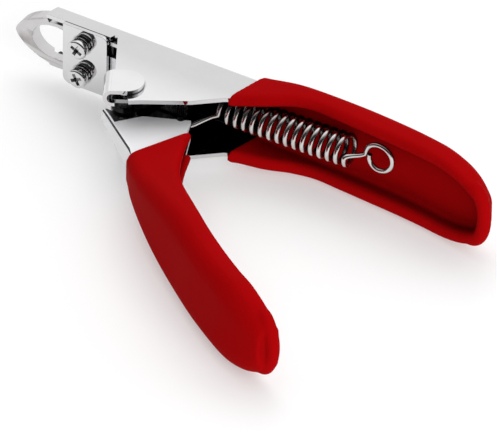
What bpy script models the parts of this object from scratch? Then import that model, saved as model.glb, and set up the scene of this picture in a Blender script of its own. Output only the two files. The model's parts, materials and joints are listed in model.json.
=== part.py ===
"""Guillotine nail clipper for pets.

A pressed-steel channel is the upper handle and carries the head: a plate with the nail ring, a blade
that slides in front of it and a cover held by two screws. The lower handle is a pressed-steel lever on
a pivot pin. Its tongue pushes the blade across the ring, and a coil spring opens it again. Both handles
are dipped in vinyl.

Everything is drawn in millimetres in the clipper's own plan. X runs along the frame from the head to
the handle's end, DROP is the distance from the frame's spine towards the lever, and Z is the width,
counted from the middle plane. The clipper lies on its side, on the rims of its two grips.
"""

import math

import bmesh
import bpy
from mathutils import Matrix, Vector

MM = 0.001
FIT = 0.15  # gap between pieces that touch

# Frame channel
SHEET = 1.2
HALF_WIDTH = 9.3
STRIP_DROP = 5.2  # depth of the channel's sides at the head
HEAD_SLANT = -0.24
FRONT_EDGE_TOP = (19.8, 4.0)
FRONT_EDGE_ANGLE = 60.9
FRONT_CORNER_RADIUS = 3.2
DIP_LINE = 61.2  # where the vinyl starts on the spine
DIP_SLANT = -0.27
FAR_SIDE_START = 5.4  # the far side of the channel begins behind the cover

# Handles
VINYL = 3.8  # wall of the grip: sheet and both skins of vinyl
VINYL_CLEARANCE = 0.2
GRIP_HALF_WIDTH = 12.7
RIM_MIDDLE = GRIP_HALF_WIDTH - VINYL / 2  # the widest place of the middle of a wall
GRIP_END = 133.8
STEEL_END = 127.0
LEVER_STEEL_END = 98.0
LEVER_GRIP_END = 105.2
END_RIM_RISE = 1.6  # the rim that closes a grip's end, from the spine, and half its width
END_RIM_HALF = 4.0

# Pivot and lever
PIVOT = (32.4, 20.2)
LEVER_ANGLE = 39.5
PIN_RADIUS = 1.5
HUB_RADIUS = 4.0
HUB_HALF_WIDTH = 2.9
BUSH_RADIUS = 2.0
TONGUE_LENGTH = 16.4
TONGUE_LEAN = 18.0
TONGUE_HALF_WIDTH = 1.5
LEVER_SPINE = -5.8  # the middle of the lever's spine sheet, across from the pivot

# Hook over the frame's side
EAR_RADIUS = 4.6
EAR_THICKNESS = 1.1
WEB_DISTANCE = 3.5
WEB_BULGE = 1.9
LEAF_Z = 6.1

# Head stack, as drops from the spine
RING_BACK, RING_FRONT = 0.4, 4.0
PLATE_BACK = 1.5
BLADE_BACK, BLADE_FRONT = 4.2, 5.0
COVER_BACK, COVER_FRONT = 5.4, 6.4
RING_TIP, RING_HALF_HEIGHT, RING_ROUNDNESS = 11.0, 7.1, 1.6
PLATE_LOW, PLATE_TOP = -7.7, 6.2
PLATE_END = 18.4
HOLE_CENTRE, HOLE_LENGTH, HOLE_HEIGHT = 1.0, 7.0, 5.1
SPINE_HOLE_MARGIN = 0.4  # the way for the nail through the frame's spine is this much wider
BLADE_EDGE = 3.9
BLADE_TRAVEL = 10.0
COVER_LEFT, COVER_RIGHT = 4.7, 18.0
SCREW_X, SCREW_Z = 10.6, 4.65
SCREW_RADIUS = 1.45
HEAD_RADIUS, HEAD_HEIGHT = 2.75, 2.1
WASHER_RADIUS, WASHER_THICKNESS = 2.65, 0.7

# Return spring
WIRE_RADIUS = 0.5
COIL_RADIUS = 3.9
COIL_TURNS = 15
COIL_FRONT, COIL_REAR = (54.3, 7.2), (91.0, 6.1)
COIL_Z = 2.4
LOOP_CENTRE, LOOP_Z = (99.0, 5.9), 3.3
LOOP_CURL = 1.1  # how far the loop's tip turns in
SPRING_PIN = (47.4, 18.0)

# Place of the drawing in the world
CENTRE_X = 61.4
CENTRE_DROP = 42.3

COLLECTION = "nail_clipper"


# ---------------------------------------------------------------- scene and materials


def clear_scene():
    for obj in list(bpy.data.objects):
        bpy.data.objects.remove(obj, do_unlink=True)


def new_collection(name):
    collection = bpy.data.collections.new(name)
    bpy.context.scene.collection.children.link(collection)
    return collection


def material(name, colour, roughness, metallic):
    made = bpy.data.materials.new(name)
    made.use_nodes = True
    shader = made.node_tree.nodes["Principled BSDF"]
    shader.inputs["Base Color"].default_value = (*colour, 1.0)
    shader.inputs["Roughness"].default_value = roughness
    shader.inputs["Metallic"].default_value = metallic
    return made


def empty(name, x, drop, z, parent=None):
    marker = bpy.data.objects.new(name, None)
    marker.location = plan(x, drop, z)
    marker.parent = parent
    parts.objects.link(marker)
    return marker


# ---------------------------------------------------------------- drawing helpers


def plan(x, drop, z):
    """A point of the drawing in metres, before the clipper is laid in its place."""
    return Vector((x * MM, -drop * MM, z * MM))


def lever_plan(along, across):
    """(x, drop) of a point given along the lever and across it, towards the frame, from the pivot."""
    angle = math.radians(LEVER_ANGLE)
    x = PIVOT[0] + along * math.cos(angle) + across * math.sin(angle)
    drop = PIVOT[1] + along * math.sin(angle) - across * math.cos(angle)
    return x, drop


def frame_plan(along, across):
    return along, across


def add(name, mesh, look, parent):
    obj = bpy.data.objects.new(name, mesh)
    parts.objects.link(obj)
    obj.parent = parent
    # The mesh is drawn from the clipper's origin, wherever its parent's axis lies.
    if parent is not clipper:
        obj.matrix_parent_inverse = Matrix.Translation(-parent.location)
    if look:
        mesh.materials.append(look)
    return obj


def cutter(mesh):
    obj = bpy.data.objects.new("cutter", mesh)
    cutters.objects.link(obj)
    obj.hide_render = True
    obj.display_type = "WIRE"
    obj.parent = clipper
    return obj


def boolean(obj, tool, operation):
    modifier = obj.modifiers.new(operation.lower(), "BOOLEAN")
    modifier.operation = operation
    modifier.object = tool
    modifier.solver = "EXACT"


def smooth(mesh, angle=35):
    mesh.shade_smooth()
    mesh.set_sharp_from_angle(angle=math.radians(angle))


def mesh_from(bm, name):
    bmesh.ops.recalc_face_normals(bm, faces=bm.faces)
    if bm.calc_volume(signed=True) < 0:
        bmesh.ops.reverse_faces(bm, faces=bm.faces)
    mesh = bpy.data.meshes.new(name)
    bm.to_mesh(mesh)
    bm.free()
    return mesh


def plate(name, outline, low, high, holes=()):
    """A flat plate: an outline in (x, drop), between two widths in Z."""
    middle = (low + high) / 2
    return flat_mesh(name, [outline, *holes], high - low, lambda u, v: plan(u, v, middle), Vector((0, 0, 1)))


def upright_plate(name, outline, back, front, holes=()):
    """A plate across the channel: an outline in (x, z), between two drops."""
    middle = (back + front) / 2
    return flat_mesh(name, [outline, *holes], front - back, lambda u, v: plan(u, middle, v), Vector((0, -1, 0)))


def flat_mesh(name, outlines, thickness, to_world, normal):
    """The first outline is the edge, the others are holes. The curve is filled and extruded."""
    curve = bpy.data.curves.new(name, "CURVE")
    curve.dimensions = "2D"
    curve.fill_mode = "BOTH"
    curve.extrude = thickness * MM / 2
    for outline in outlines:
        spline = curve.splines.new("POLY")
        spline.points.add(len(outline) - 1)
        for point, (u, v) in zip(spline.points, outline):
            point.co = (u * MM, v * MM, 0, 1)
        spline.use_cyclic_u = True
    holder = bpy.data.objects.new(name, curve)
    bpy.context.scene.collection.objects.link(holder)
    bpy.context.view_layer.update()
    graph = bpy.context.evaluated_depsgraph_get()
    mesh = bpy.data.meshes.new_from_object(holder.evaluated_get(graph))
    bpy.data.objects.remove(holder, do_unlink=True)
    origin = to_world(0, 0)
    u_axis = (to_world(1, 0) - origin) / MM
    v_axis = (to_world(0, 1) - origin) / MM
    frame = Matrix((u_axis, v_axis, normal)).transposed().to_4x4()
    mesh.transform(Matrix.Translation(origin) @ frame)
    bm = bmesh.new()
    bm.from_mesh(mesh)
    bmesh.ops.remove_doubles(bm, verts=bm.verts, dist=1e-6)
    bmesh.ops.recalc_face_normals(bm, faces=bm.faces)
    bm.to_mesh(mesh)
    bm.free()
    return mesh


def arc(centre, radius, start, end, steps):
    """Points on an arc, in (x, drop) or (x, z), between two angles in degrees."""
    angles = [math.radians(start + (end - start) * i / steps) for i in range(steps + 1)]
    return [(centre[0] + radius * math.cos(a), centre[1] + radius * math.sin(a)) for a in angles]


def circle(centre, radius, steps=32):
    return arc(centre, radius, 0, 360, steps)[:-1]


def rounded_box(left, right, low, high, radii, steps=5):
    """A rectangle with its own corner radius at low-left, low-right, high-right and high-left."""
    corners = [(left, low, 180), (right, low, 270), (right, high, 0), (left, high, 90)]
    outline = []
    for (x, y, start), radius in zip(corners, radii):
        centre_x = x + radius if x == left else x - radius
        centre_y = y + radius if y == low else y - radius
        outline += arc((centre_x, centre_y), radius, start, start + 90, steps)
    return outline


def cylinder(radius, low, high, centre, along_drop=False, bevel=0.0, segments=32):
    """A cylinder about a Z axis between two widths, or about a DROP axis between two drops."""
    bm = bmesh.new()
    bmesh.ops.create_cone(
        bm,
        cap_ends=True,
        segments=segments,
        radius1=radius * MM,
        radius2=radius * MM,
        depth=(high - low) * MM,
    )
    if bevel:
        rims = [edge for edge in bm.edges if abs(edge.verts[0].co.z - edge.verts[1].co.z) < 1e-7]
        bmesh.ops.bevel(bm, geom=rims, offset=bevel * MM, segments=3, profile=0.5, affect="EDGES")
    middle = (low + high) / 2
    if along_drop:
        turn = Matrix.Translation(plan(centre[0], middle, centre[1])) @ Matrix.Rotation(math.pi / 2, 4, "X")
    else:
        turn = Matrix.Translation(plan(centre[0], centre[1], middle))
    bmesh.ops.transform(bm, matrix=turn, verts=bm.verts)
    mesh = mesh_from(bm, "cylinder")
    smooth(mesh)
    return mesh


def follow(keys, t):
    """A smooth value at t through (t, value) keys, held at the first and last."""
    if t <= keys[0][0]:
        return keys[0][1]
    if t >= keys[-1][0]:
        return keys[-1][1]
    index = max(i for i, key in enumerate(keys) if key[0] <= t)
    (t0, a), (t1, b) = keys[index], keys[index + 1]
    before = keys[max(index - 1, 0)]
    after = keys[min(index + 2, len(keys) - 1)]
    slope_in = (b - before[1]) / (t1 - before[0]) if index else (b - a) / (t1 - t0)
    slope_out = (after[1] - a) / (after[0] - t0)
    span = t1 - t0
    s = (t - t0) / span
    return (
        (2 * s**3 - 3 * s**2 + 1) * a
        + (s**3 - 2 * s**2 + s) * span * slope_in
        + (3 * s**2 - 2 * s**3) * b
        + (s**3 - s**2) * span * slope_out
    )


def steps_between(start, end, spacing):
    count = max(1, round((end - start) / spacing))
    return [start + (end - start) * i / count for i in range(count + 1)]


# ---------------------------------------------------------------- channels and troughs


def wall_line(spine, side, corner_depth, corner_width, rim):
    """One face of a trough's wall in (depth, z), from the far rim round the spine to the near rim."""
    near = []
    for i in range(5):
        angle = math.radians(22.5 * i)
        depth = spine + corner_depth * (1 - math.cos(angle))
        near.append((depth, side - corner_width * (1 - math.sin(angle))))
    near.append(((spine + corner_depth + rim) / 2, side))
    near.append((rim, side))
    return [(w, -z) for w, z in reversed(near)] + near


def trough_outline(half_spine, half_rim, shoulder, depth, thickness, round_rims):
    """The closed outline of a trough's wall, with square or round rims."""
    half = thickness / 2
    rim = max(depth, half + 0.3)
    corner = half_rim - half_spine
    inner_side = half_rim - half
    inner_depth = min(max(0.15, shoulder - half), rim - half - 0.1)
    inner_width = min(max(0.15, corner - half), inner_side - 0.1)
    outer_depth = min(shoulder + half, rim + half - 0.2)
    inside = wall_line(half, inner_side, inner_depth, inner_width, rim)
    outside = wall_line(-half, half_rim + half, outer_depth, corner + half, rim)
    if not round_rims:
        return inside + outside[::-1]
    steps = 5
    turns = [math.pi * i / steps for i in range(1, steps)]
    near_rim = [(rim + half * math.sin(a), half_rim - half * math.cos(a)) for a in turns]
    far_rim = [(w, -z) for w, z in reversed(near_rim)]
    return inside + near_rim + outside[::-1] + far_rim


def ribbon(line, thickness):
    """The closed outline of a bent strip about its middle line."""
    points = [Vector(p) for p in line]
    left, right = [], []
    for i, point in enumerate(points):
        tangent = (points[min(i + 1, len(points) - 1)] - points[max(i - 1, 0)]).normalized()
        across = Vector((-tangent.y, tangent.x)) * thickness / 2
        left.append(point + across)
        right.append(point - across)
    return right + left[::-1]


def loft(name, rings):
    """A closed body through rings that have the same number of points."""
    bm = bmesh.new()
    rows = [[bm.verts.new(point) for point in ring] for ring in rings]
    for row, following in zip(rows, rows[1:]):
        for i in range(len(row)):
            j = (i + 1) % len(row)
            bm.faces.new((row[i], row[j], following[j], following[i]))
    caps = [bm.faces.new(rows[0]), bm.faces.new(rows[-1])]
    bm.normal_update()
    bmesh.ops.triangulate(bm, faces=caps)
    return mesh_from(bm, name)


def trough(name, stations, to_plan, thickness, round_rims=False):
    """Stations are (along, across, half_spine, half_rim, shoulder, depth, slant)."""
    rings = []
    for along, across, half_spine, half_rim, shoulder, depth, slant in stations:
        outline = trough_outline(half_spine, half_rim, shoulder, depth, thickness, round_rims)
        rings.append([plan(*to_plan(along + slant * w, across + w), z) for w, z in outline])
    return loft(name, rings)


# ---------------------------------------------------------------- frame and its grip

# The middle of the sheet in the upper handle, by distance from the head.
SPINE_DROP = [(60, 0.6), (66, 0.0), (73, -0.8), (90, -0.8), (104, 0.2), (114, 1.6), (122, 3.4), (128, 5.4), (134, 9.0)]
RIM_DROP = [(56.6, 12.0), (60, 10.2), (67, 7.6), (73, 4.7), (79, 3.4), (86, 3.8), (95, 4.5), (105, 5.3), (115, 6.5),
            (124, 8.4), (129, 9.6), (134, 10.4)]
HALF_RIM = [(58, 8.7), (62, 9.0), (68, 10.1), (74, 10.7), (78, 10.8), (116, 10.8), (123, 9.9), (128, 8.0), (131.5, 5.4),
            (134, 2.2)]
HALF_SPINE = [(58, 7.7), (64, 7.2), (74, 6.8), (116, 6.8), (123, 5.8), (128, 4.4), (131.5, 2.8), (134, 1.0)]
SHOULDER = [(58, 1.0), (66, 1.8), (76, 2.4), (122, 2.4), (130, 1.8), (134, 0.6)]


def side_drop(x):
    """How far down the frame's sides reach: the head's strip, the front edge, the wing and the handle's rim."""
    corner_start = 180 - (90 - FRONT_EDGE_ANGLE)
    corner = arc(PIVOT, FRONT_CORNER_RADIUS, corner_start, 60, 8)
    keys = [(-2.0, STRIP_DROP), (18.3, STRIP_DROP), (18.8, 3.8), (FRONT_EDGE_TOP[0] - 0.2, 3.6), FRONT_EDGE_TOP]
    keys += corner
    keys += [(36.4, 25.9), (39.2, 24.0), (50.0, 17.6), (56.6, 12.0)]
    if x >= keys[-1][0]:
        return follow(RIM_DROP, x)
    index = max(i for i, key in enumerate(keys) if key[0] <= x)
    (x0, a), (x1, b) = keys[index], keys[index + 1]
    return a + (b - a) * (x - x0) / (x1 - x0)


def wall_depth(rim, along, across, slant):
    """How deep a wall is at a slanted station, whose rim lies ahead of or behind its spine."""
    depth = rim(along) - across
    for _ in range(8):
        depth = rim(along + slant * depth) - across
    return depth


def frame_station(x, extra_depth=0.0, slant=0.0):
    across = follow(SPINE_DROP, x)
    depth = max(0.8, wall_depth(side_drop, x, across, slant) + extra_depth)
    middle_half = HALF_WIDTH - SHEET / 2
    half_rim = min(follow(HALF_RIM, x), RIM_MIDDLE)
    if x < 70:
        half_rim = max(middle_half, half_rim)
    half_spine = min(half_rim - 1.0, follow(HALF_SPINE, x))
    shoulder = min(follow(SHOULDER, x), depth * 0.6)
    return (x, across, half_spine, half_rim, shoulder, depth, slant)


def frame_xs():
    corner_start = 180 - (90 - FRONT_EDGE_ANGLE)
    corner = [x for x, _ in arc(PIVOT, FRONT_CORNER_RADIUS, corner_start, 60, 8)]
    front = [3.0, 18.3, 18.8, FRONT_EDGE_TOP[0] - 0.2, FRONT_EDGE_TOP[0], 24.0, *corner, 36.4, 39.2, 50.0, 54.0]
    return front + steps_between(56.6, STEEL_END, 4.2)


def make_frame():
    stations = [frame_station(0.0, slant=HEAD_SLANT)]
    stations += [frame_station(x) for x in frame_xs()]
    mesh = trough("frame", stations, frame_plan, SHEET)
    smooth(mesh)
    frame = add("frame", mesh, chrome, clipper)
    hole = cylinder(PIN_RADIUS + FIT, -HALF_WIDTH - 3, HALF_WIDTH + 3, PIVOT)
    boolean(frame, cutter(hole), "DIFFERENCE")
    far_corner = rounded_box(-5, FAR_SIDE_START, 1.4, 9, (0.5, 0.5, 0.5, 0.5), 2)
    boolean(frame, cutter(plate("far_corner", far_corner, -HALF_WIDTH - 2, -HALF_WIDTH + 1.8)), "DIFFERENCE")
    nail_way = upright_plate("nail_way", ring_hole(SPINE_HOLE_MARGIN), -3, SHEET + 1)
    boolean(frame, cutter(nail_way), "DIFFERENCE")
    return frame


def make_upper_grip():
    spacing = 4.2
    stations = []
    for x in steps_between(DIP_LINE, 116.0, spacing) + [119, 121.5, 124, 126.5, 128.5, 130.3, 131.8, 133.0, GRIP_END]:
        slant = DIP_SLANT * max(0.0, 1 - (x - DIP_LINE) / 9.0)
        stations.append(frame_station(x, VINYL_CLEARANCE, slant))
    grip = add("upper_grip", trough("upper_grip", stations, frame_plan, VINYL, True), vinyl, clipper)
    inside = [frame_station(x, VINYL_CLEARANCE) for x in steps_between(54.0, STEEL_END + 0.4, 4.0)]
    slot = trough("frame_slot", inside, frame_plan, SHEET + 2 * VINYL_CLEARANCE)
    boolean(grip, cutter(slot), "DIFFERENCE")
    end = (GRIP_END - VINYL / 2, follow(SPINE_DROP, GRIP_END) + END_RIM_RISE)
    boolean(grip, cutter(cylinder(VINYL / 2, -END_RIM_HALF, END_RIM_HALF, end, segments=20)), "UNION")
    smooth(grip.data, 50)
    return grip


# ---------------------------------------------------------------- head


def ring_outline():
    """The nail ring's pointed end in (x, z), from its upper neck round the tip to its lower neck."""
    outline = []
    for i in range(2, 31):
        angle = math.radians(90 + 180 * i / 32)
        cosine, sine = math.cos(angle), math.sin(angle)
        x = RING_TIP * math.copysign(abs(cosine) ** (2 / RING_ROUNDNESS), cosine)
        z = RING_HALF_HEIGHT * math.copysign(abs(sine) ** (2 / RING_ROUNDNESS), sine)
        outline.append((x, z))
    return outline


def ring_hole(margin=0.0):
    angles = [2 * math.pi * i / 40 for i in range(40)]
    half_length, half_height = HOLE_LENGTH + margin, HOLE_HEIGHT + margin
    return [(HOLE_CENTRE + half_length * math.cos(a), half_height * math.sin(a)) for a in angles]


def make_cutting_ring():
    corner = 0.5
    left = -0.9
    upper = arc((left + corner, PLATE_TOP - corner), corner, 90, 180, 3)
    lower = arc((left + corner, PLATE_LOW + corner), corner, 180, 270, 3)
    base = [(PLATE_END, PLATE_LOW), (PLATE_END, PLATE_TOP)]
    outline = base + upper + ring_outline() + lower
    body = upright_plate("cutting_ring", outline, PLATE_BACK, RING_FRONT)
    ring = add("cutting_ring", body, ring_steel, clipper)
    round_rim(ring, 0.35)
    eye = cutter(upright_plate("eye", ring_outline(), RING_BACK, PLATE_BACK + 0.8))
    round_rim(eye, 0.5)
    boolean(ring, eye, "UNION")
    boolean(ring, cutter(upright_plate("hole", ring_hole(), RING_BACK - 2, RING_FRONT + 2)), "DIFFERENCE")
    for side in (-1, 1):
        screw_hole = cylinder(SCREW_RADIUS + FIT, 0, 8, (SCREW_X, side * SCREW_Z), True, segments=20)
        boolean(ring, cutter(screw_hole), "DIFFERENCE")
    return ring


def round_rim(obj, width):
    bevel = obj.modifiers.new("rounded rim", "BEVEL")
    bevel.width = width * MM
    bevel.segments = 2
    bevel.limit_method = "ANGLE"
    bevel.angle_limit = math.radians(60)


def slot_outline(start, end, z, half):
    return arc((end, z), half, -90, 90, 8) + arc((start, z), half, 90, 270, 8)


def make_blade():
    pusher_x = PIVOT[0] + TONGUE_LENGTH * math.sin(math.radians(TONGUE_LEAN)) - 0.4
    tongue_room = TONGUE_HALF_WIDTH + 0.3
    outline = rounded_box(BLADE_EDGE, pusher_x + 4.4, -7.6, 7.6, (0.2, 1.0, 1.0, 0.2), 3)
    holes = [
        slot_outline(SCREW_X, SCREW_X + BLADE_TRAVEL, side * SCREW_Z, SCREW_RADIUS + 0.35) for side in (-1, 1)
    ]
    holes.append(rounded_box(pusher_x - 2.2, pusher_x + 2.2, -tongue_room, tongue_room, (0.3,) * 4, 2))
    mesh = upright_plate("blade", outline, BLADE_BACK, BLADE_FRONT, holes)
    return add("blade", mesh, blade_steel, blade_slide)


def make_cover():
    outline = rounded_box(COVER_LEFT, COVER_RIGHT, -HALF_WIDTH, HALF_WIDTH, (2.2, 0.4, 1.6, 0.4))
    holes = [circle((SCREW_X, side * SCREW_Z), SCREW_RADIUS + FIT, 20) for side in (-1, 1)]
    return add("cover_plate", upright_plate("cover_plate", outline, COVER_BACK, COVER_FRONT, holes), chrome, clipper)


def make_screw(name, side, turned):
    centre = (SCREW_X, side * SCREW_Z)
    seat = COVER_FRONT + FIT + WASHER_THICKNESS + FIT
    screw = add(name, cylinder(HEAD_RADIUS, seat, seat + HEAD_HEIGHT, centre, True, 0.6), screw_steel, clipper)
    shank = cylinder(SCREW_RADIUS, PLATE_BACK + 0.2, seat + 0.6, centre, True, 0.0, 20)
    boolean(screw, cutter(shank), "UNION")
    for arm in (0, 90):
        bm = bmesh.new()
        bmesh.ops.create_cube(bm, size=1)
        bmesh.ops.scale(bm, vec=(3.4 * MM, 2.4 * MM, 0.9 * MM), verts=bm.verts)
        turn = Matrix.Rotation(math.radians(turned + arm), 4, "Y")
        place = Matrix.Translation(plan(centre[0], seat + HEAD_HEIGHT, centre[1]))
        bmesh.ops.transform(bm, matrix=place @ turn, verts=bm.verts)
        boolean(screw, cutter(mesh_from(bm, "recess")), "DIFFERENCE")
    return screw


def make_washer(name, side):
    """A split lock washer: a ring with a narrow gap."""
    centre = (SCREW_X, side * SCREW_Z)
    inner = SCREW_RADIUS + FIT
    outline = arc(centre, WASHER_RADIUS, 8, 352, 28) + arc(centre, inner, 348, 12, 28)
    back = COVER_FRONT + FIT
    return add(name, upright_plate(name, outline, back, back + WASHER_THICKNESS), screw_steel, clipper)


# ---------------------------------------------------------------- lever and its grip

LEVER_SPINE_ACROSS = [(20, LEVER_SPINE), (24, -6.3), (29, -7.2), (36, -7.7), (46, -7.7), (60, -7.2), (72, -6.7),
                      (82, -5.7), (90, -4.5), (96, -2.9), (101, -0.9), (105.4, 1.6)]
LEVER_RIM_ACROSS = [(18.5, 9.6), (24.2, 5.7), (31.5, 1.9), (38, -0.5), (46, -2.0), (60, -2.8), (72, -2.5), (85, -1.3),
                    (93, 0.1), (99, 1.3), (105.4, 3.0)]
LEVER_HALF_RIM = [(-2, 1.3), (8, 2.1), (20, 3.2), (26, 3.9), (32, 4.9), (38, 6.5), (45, 8.3), (53, 9.9), (60, 10.7),
                  (64, 10.8), (90, 10.8), (96, 9.6), (100, 7.8), (103, 5.4), (105.4, 2.2)]
LEVER_HALF_SPINE = [(-2, 0.6), (8, 1.3), (20, 2.3), (30, 3.3), (38, 4.7), (46, 6.1), (56, 6.8), (86, 6.8), (94, 5.6),
                    (100, 3.8), (103, 2.6), (105.4, 1.0)]
LEVER_SHOULDER = [(-2, 0.6), (20, 0.9), (34, 1.4), (50, 2.4), (94, 2.4), (101, 1.6), (105.4, 0.6)]
LEVER_WING = [(-1.2, -5.2), (2.4, -2.8), (11.9, 13.3), (18.5, 9.6)]


def lever_rim(along):
    if along >= LEVER_WING[-1][0]:
        return follow(LEVER_RIM_ACROSS, along)
    index = max(i for i, key in enumerate(LEVER_WING) if key[0] <= along)
    (t0, a), (t1, b) = LEVER_WING[index], LEVER_WING[index + 1]
    return a + (b - a) * (along - t0) / (t1 - t0)


def lever_station(along, extra_depth=0.0, slant=0.0):
    across = follow(LEVER_SPINE_ACROSS, along)
    depth = max(0.7, wall_depth(lever_rim, along, across, slant) + extra_depth)
    shoulder = min(follow(LEVER_SHOULDER, along), depth * 0.6)
    half_rim = min(follow(LEVER_HALF_RIM, along), RIM_MIDDLE)
    half_spine = min(half_rim - 0.5, follow(LEVER_HALF_SPINE, along))
    return (along, across, half_spine, half_rim, shoulder, depth, slant)


def make_lever():
    alongs = [-1.2, 2.4, 5.5, 8.7, 11.9, 15.2] + steps_between(18.5, LEVER_STEEL_END, 4.2)
    mesh = trough("lever", [lever_station(a) for a in alongs], lever_plan, SHEET)
    smooth(mesh)
    lever = add("lever", mesh, chrome, lever_axis)
    hub = cylinder(HUB_RADIUS, -HUB_HALF_WIDTH, HUB_HALF_WIDTH, PIVOT)
    boolean(lever, cutter(hub), "UNION")
    lean = math.radians(TONGUE_LEAN)
    tip = (PIVOT[0] + TONGUE_LENGTH * math.sin(lean), PIVOT[1] - TONGUE_LENGTH * math.cos(lean))
    outline = arc(PIVOT, 3.4, TONGUE_LEAN, TONGUE_LEAN + 180, 10)
    outline += arc(tip, 1.3, TONGUE_LEAN + 180, TONGUE_LEAN + 360, 8)
    tongue = plate("tongue", outline, -TONGUE_HALF_WIDTH, TONGUE_HALF_WIDTH)
    boolean(lever, cutter(tongue), "UNION")
    boolean(lever, cutter(cylinder(PIN_RADIUS + FIT, -9, 9, PIVOT)), "DIFFERENCE")
    boolean(lever, cutter(cylinder(1.0 + FIT, -9, 9, SPRING_PIN, segments=20)), "DIFFERENCE")
    return lever


def make_lower_grip():
    start = 22.2
    slant_at_start = -0.22
    stations = []
    ends = [93, 95.5, 97.5, 99.5, 101.2, 102.6, 103.8, 104.6, LEVER_GRIP_END]
    for along in steps_between(start, 91.0, 4.2) + ends:
        slant = slant_at_start * max(0.0, 1 - (along - start) / 10.0)
        stations.append(lever_station(along, VINYL_CLEARANCE, slant))
    grip = add("lower_grip", trough("lower_grip", stations, lever_plan, VINYL, True), vinyl, lever_axis)
    inside = [lever_station(a, VINYL_CLEARANCE) for a in steps_between(14.0, LEVER_STEEL_END + 0.4, 4.0)]
    slot = trough("lever_slot", inside, lever_plan, SHEET + 2 * VINYL_CLEARANCE)
    boolean(grip, cutter(slot), "DIFFERENCE")
    across = follow(LEVER_SPINE_ACROSS, LEVER_GRIP_END) + END_RIM_RISE
    end = lever_plan(LEVER_GRIP_END - VINYL / 2, across)
    boolean(grip, cutter(cylinder(VINYL / 2, -END_RIM_HALF, END_RIM_HALF, end, segments=20)), "UNION")
    smooth(grip.data, 50)
    return grip


# ---------------------------------------------------------------- pivot


def make_pivot_pin():
    foot = -HALF_WIDTH - FIT
    pin = add("pivot_pin", cylinder(PIN_RADIUS, foot - 0.6, HALF_WIDTH - 0.1, PIVOT), pin_steel, clipper)
    boolean(pin, cutter(cylinder(2.8, foot - 1.2, foot, PIVOT, bevel=0.4)), "UNION")
    return pin


def make_bush(name, low, high):
    outline = circle(PIVOT, BUSH_RADIUS, 28)
    mesh = plate(name, outline, low, high, [circle(PIVOT, PIN_RADIUS + FIT, 28)])
    smooth(mesh)
    return add(name, mesh, pin_steel, lever_axis)


def hook_direction(distance, across):
    """(x, drop) of a point a distance from the pivot towards the frame's front edge."""
    angle = math.radians(FRONT_EDGE_ANGLE)
    x = PIVOT[0] - distance * math.sin(angle) + across * math.cos(angle)
    drop = PIVOT[1] + distance * math.cos(angle) + across * math.sin(angle)
    return x, drop


def ear_outline(radius):
    """A tab whose round end is about the pivot and whose base lies along the frame's front edge."""
    angle = FRONT_EDGE_ANGLE
    points = arc(PIVOT, radius, angle - 180, angle, 20)
    return points + [hook_direction(WEB_DISTANCE + 0.3, radius), hook_direction(WEB_DISTANCE + 0.3, -radius)]


def make_hinge_hook():
    ear_low = HALF_WIDTH + FIT
    ear = plate("hinge_hook", ear_outline(EAR_RADIUS), ear_low, ear_low + EAR_THICKNESS)
    hook = add("hinge_hook", ear, chrome, lever_axis)
    middle_top = ear_low + EAR_THICKNESS / 2
    middle_low = LEAF_Z
    middle_z = (middle_top + middle_low) / 2
    half_height = (middle_top - middle_low) / 2
    line = [(WEB_DISTANCE - 0.6, middle_top)]
    for i in range(13):
        angle = math.radians(90 - 15 * i)
        line.append((WEB_DISTANCE + WEB_BULGE * math.cos(angle), middle_z + half_height * math.sin(angle)))
    line.append((WEB_DISTANCE - 0.6, middle_low))
    outline = ribbon(line, EAR_THICKNESS - 0.06)
    half_web = EAR_RADIUS - 0.06
    rings = [[plan(*hook_direction(p.x, across), p.y) for p in outline] for across in (-half_web, half_web)]
    boolean(hook, cutter(loft("web", rings)), "UNION")
    leaf = plate("leaf", ear_outline(3.0), LEAF_Z - EAR_THICKNESS / 2, LEAF_Z + EAR_THICKNESS / 2)
    boolean(hook, cutter(leaf), "UNION")
    hole = cylinder(PIN_RADIUS + FIT, LEAF_Z - 2, LEAF_Z + 2, PIVOT)
    boolean(hook, cutter(hole), "DIFFERENCE")
    return hook


# ---------------------------------------------------------------- spring


def spring_path():
    """Points of the wire's centre: the front hook round its pin, the coil, and the open rear loop."""
    front, rear = Vector(COIL_FRONT), Vector(COIL_REAR)
    coil = []
    per_turn = 10
    for i in range(COIL_TURNS * per_turn + 1):
        share = i / (COIL_TURNS * per_turn)
        turn = 2 * math.pi * i / per_turn
        centre = front.lerp(rear, share)
        drop = centre.y + COIL_RADIUS * math.cos(turn)
        coil.append((centre.x, drop, COIL_Z + COIL_RADIUS * math.sin(turn)))
    hook_radius = 1.0 + WIRE_RADIUS + 0.35
    hook = []
    for i in range(11):
        angle = math.radians(200 - 24 * i)
        hook.append((SPRING_PIN[0] + hook_radius * math.cos(angle), SPRING_PIN[1] + hook_radius * math.sin(angle), 0.2))
    lead = [(50.0, 15.4, 0.6), (51.4, 13.4, 1.2), (52.9, 11.8, 1.9)]
    loop = [(92.2, 9.7, 3.0), (93.6, 8.2, 3.6), (94.6, 6.8, 3.9)]
    for i in range(19):
        angle = math.radians(170 - 19.5 * i)
        radius = COIL_RADIUS - LOOP_CURL * max(0.0, (i - 14) / 4)
        loop.append((LOOP_CENTRE[0] + radius * math.cos(angle), LOOP_CENTRE[1], LOOP_Z + radius * math.sin(angle)))
    return hook + lead + coil + loop


def make_spring():
    curve = bpy.data.curves.new("return_spring", "CURVE")
    curve.dimensions = "3D"
    curve.bevel_depth = WIRE_RADIUS * MM
    curve.bevel_resolution = 2
    curve.use_fill_caps = True
    points = spring_path()
    spline = curve.splines.new("POLY")
    spline.points.add(len(points) - 1)
    for point, place in zip(spline.points, points):
        point.co = (*plan(*place), 1)
    return add("return_spring", curve, spring_steel, clipper)


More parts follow.
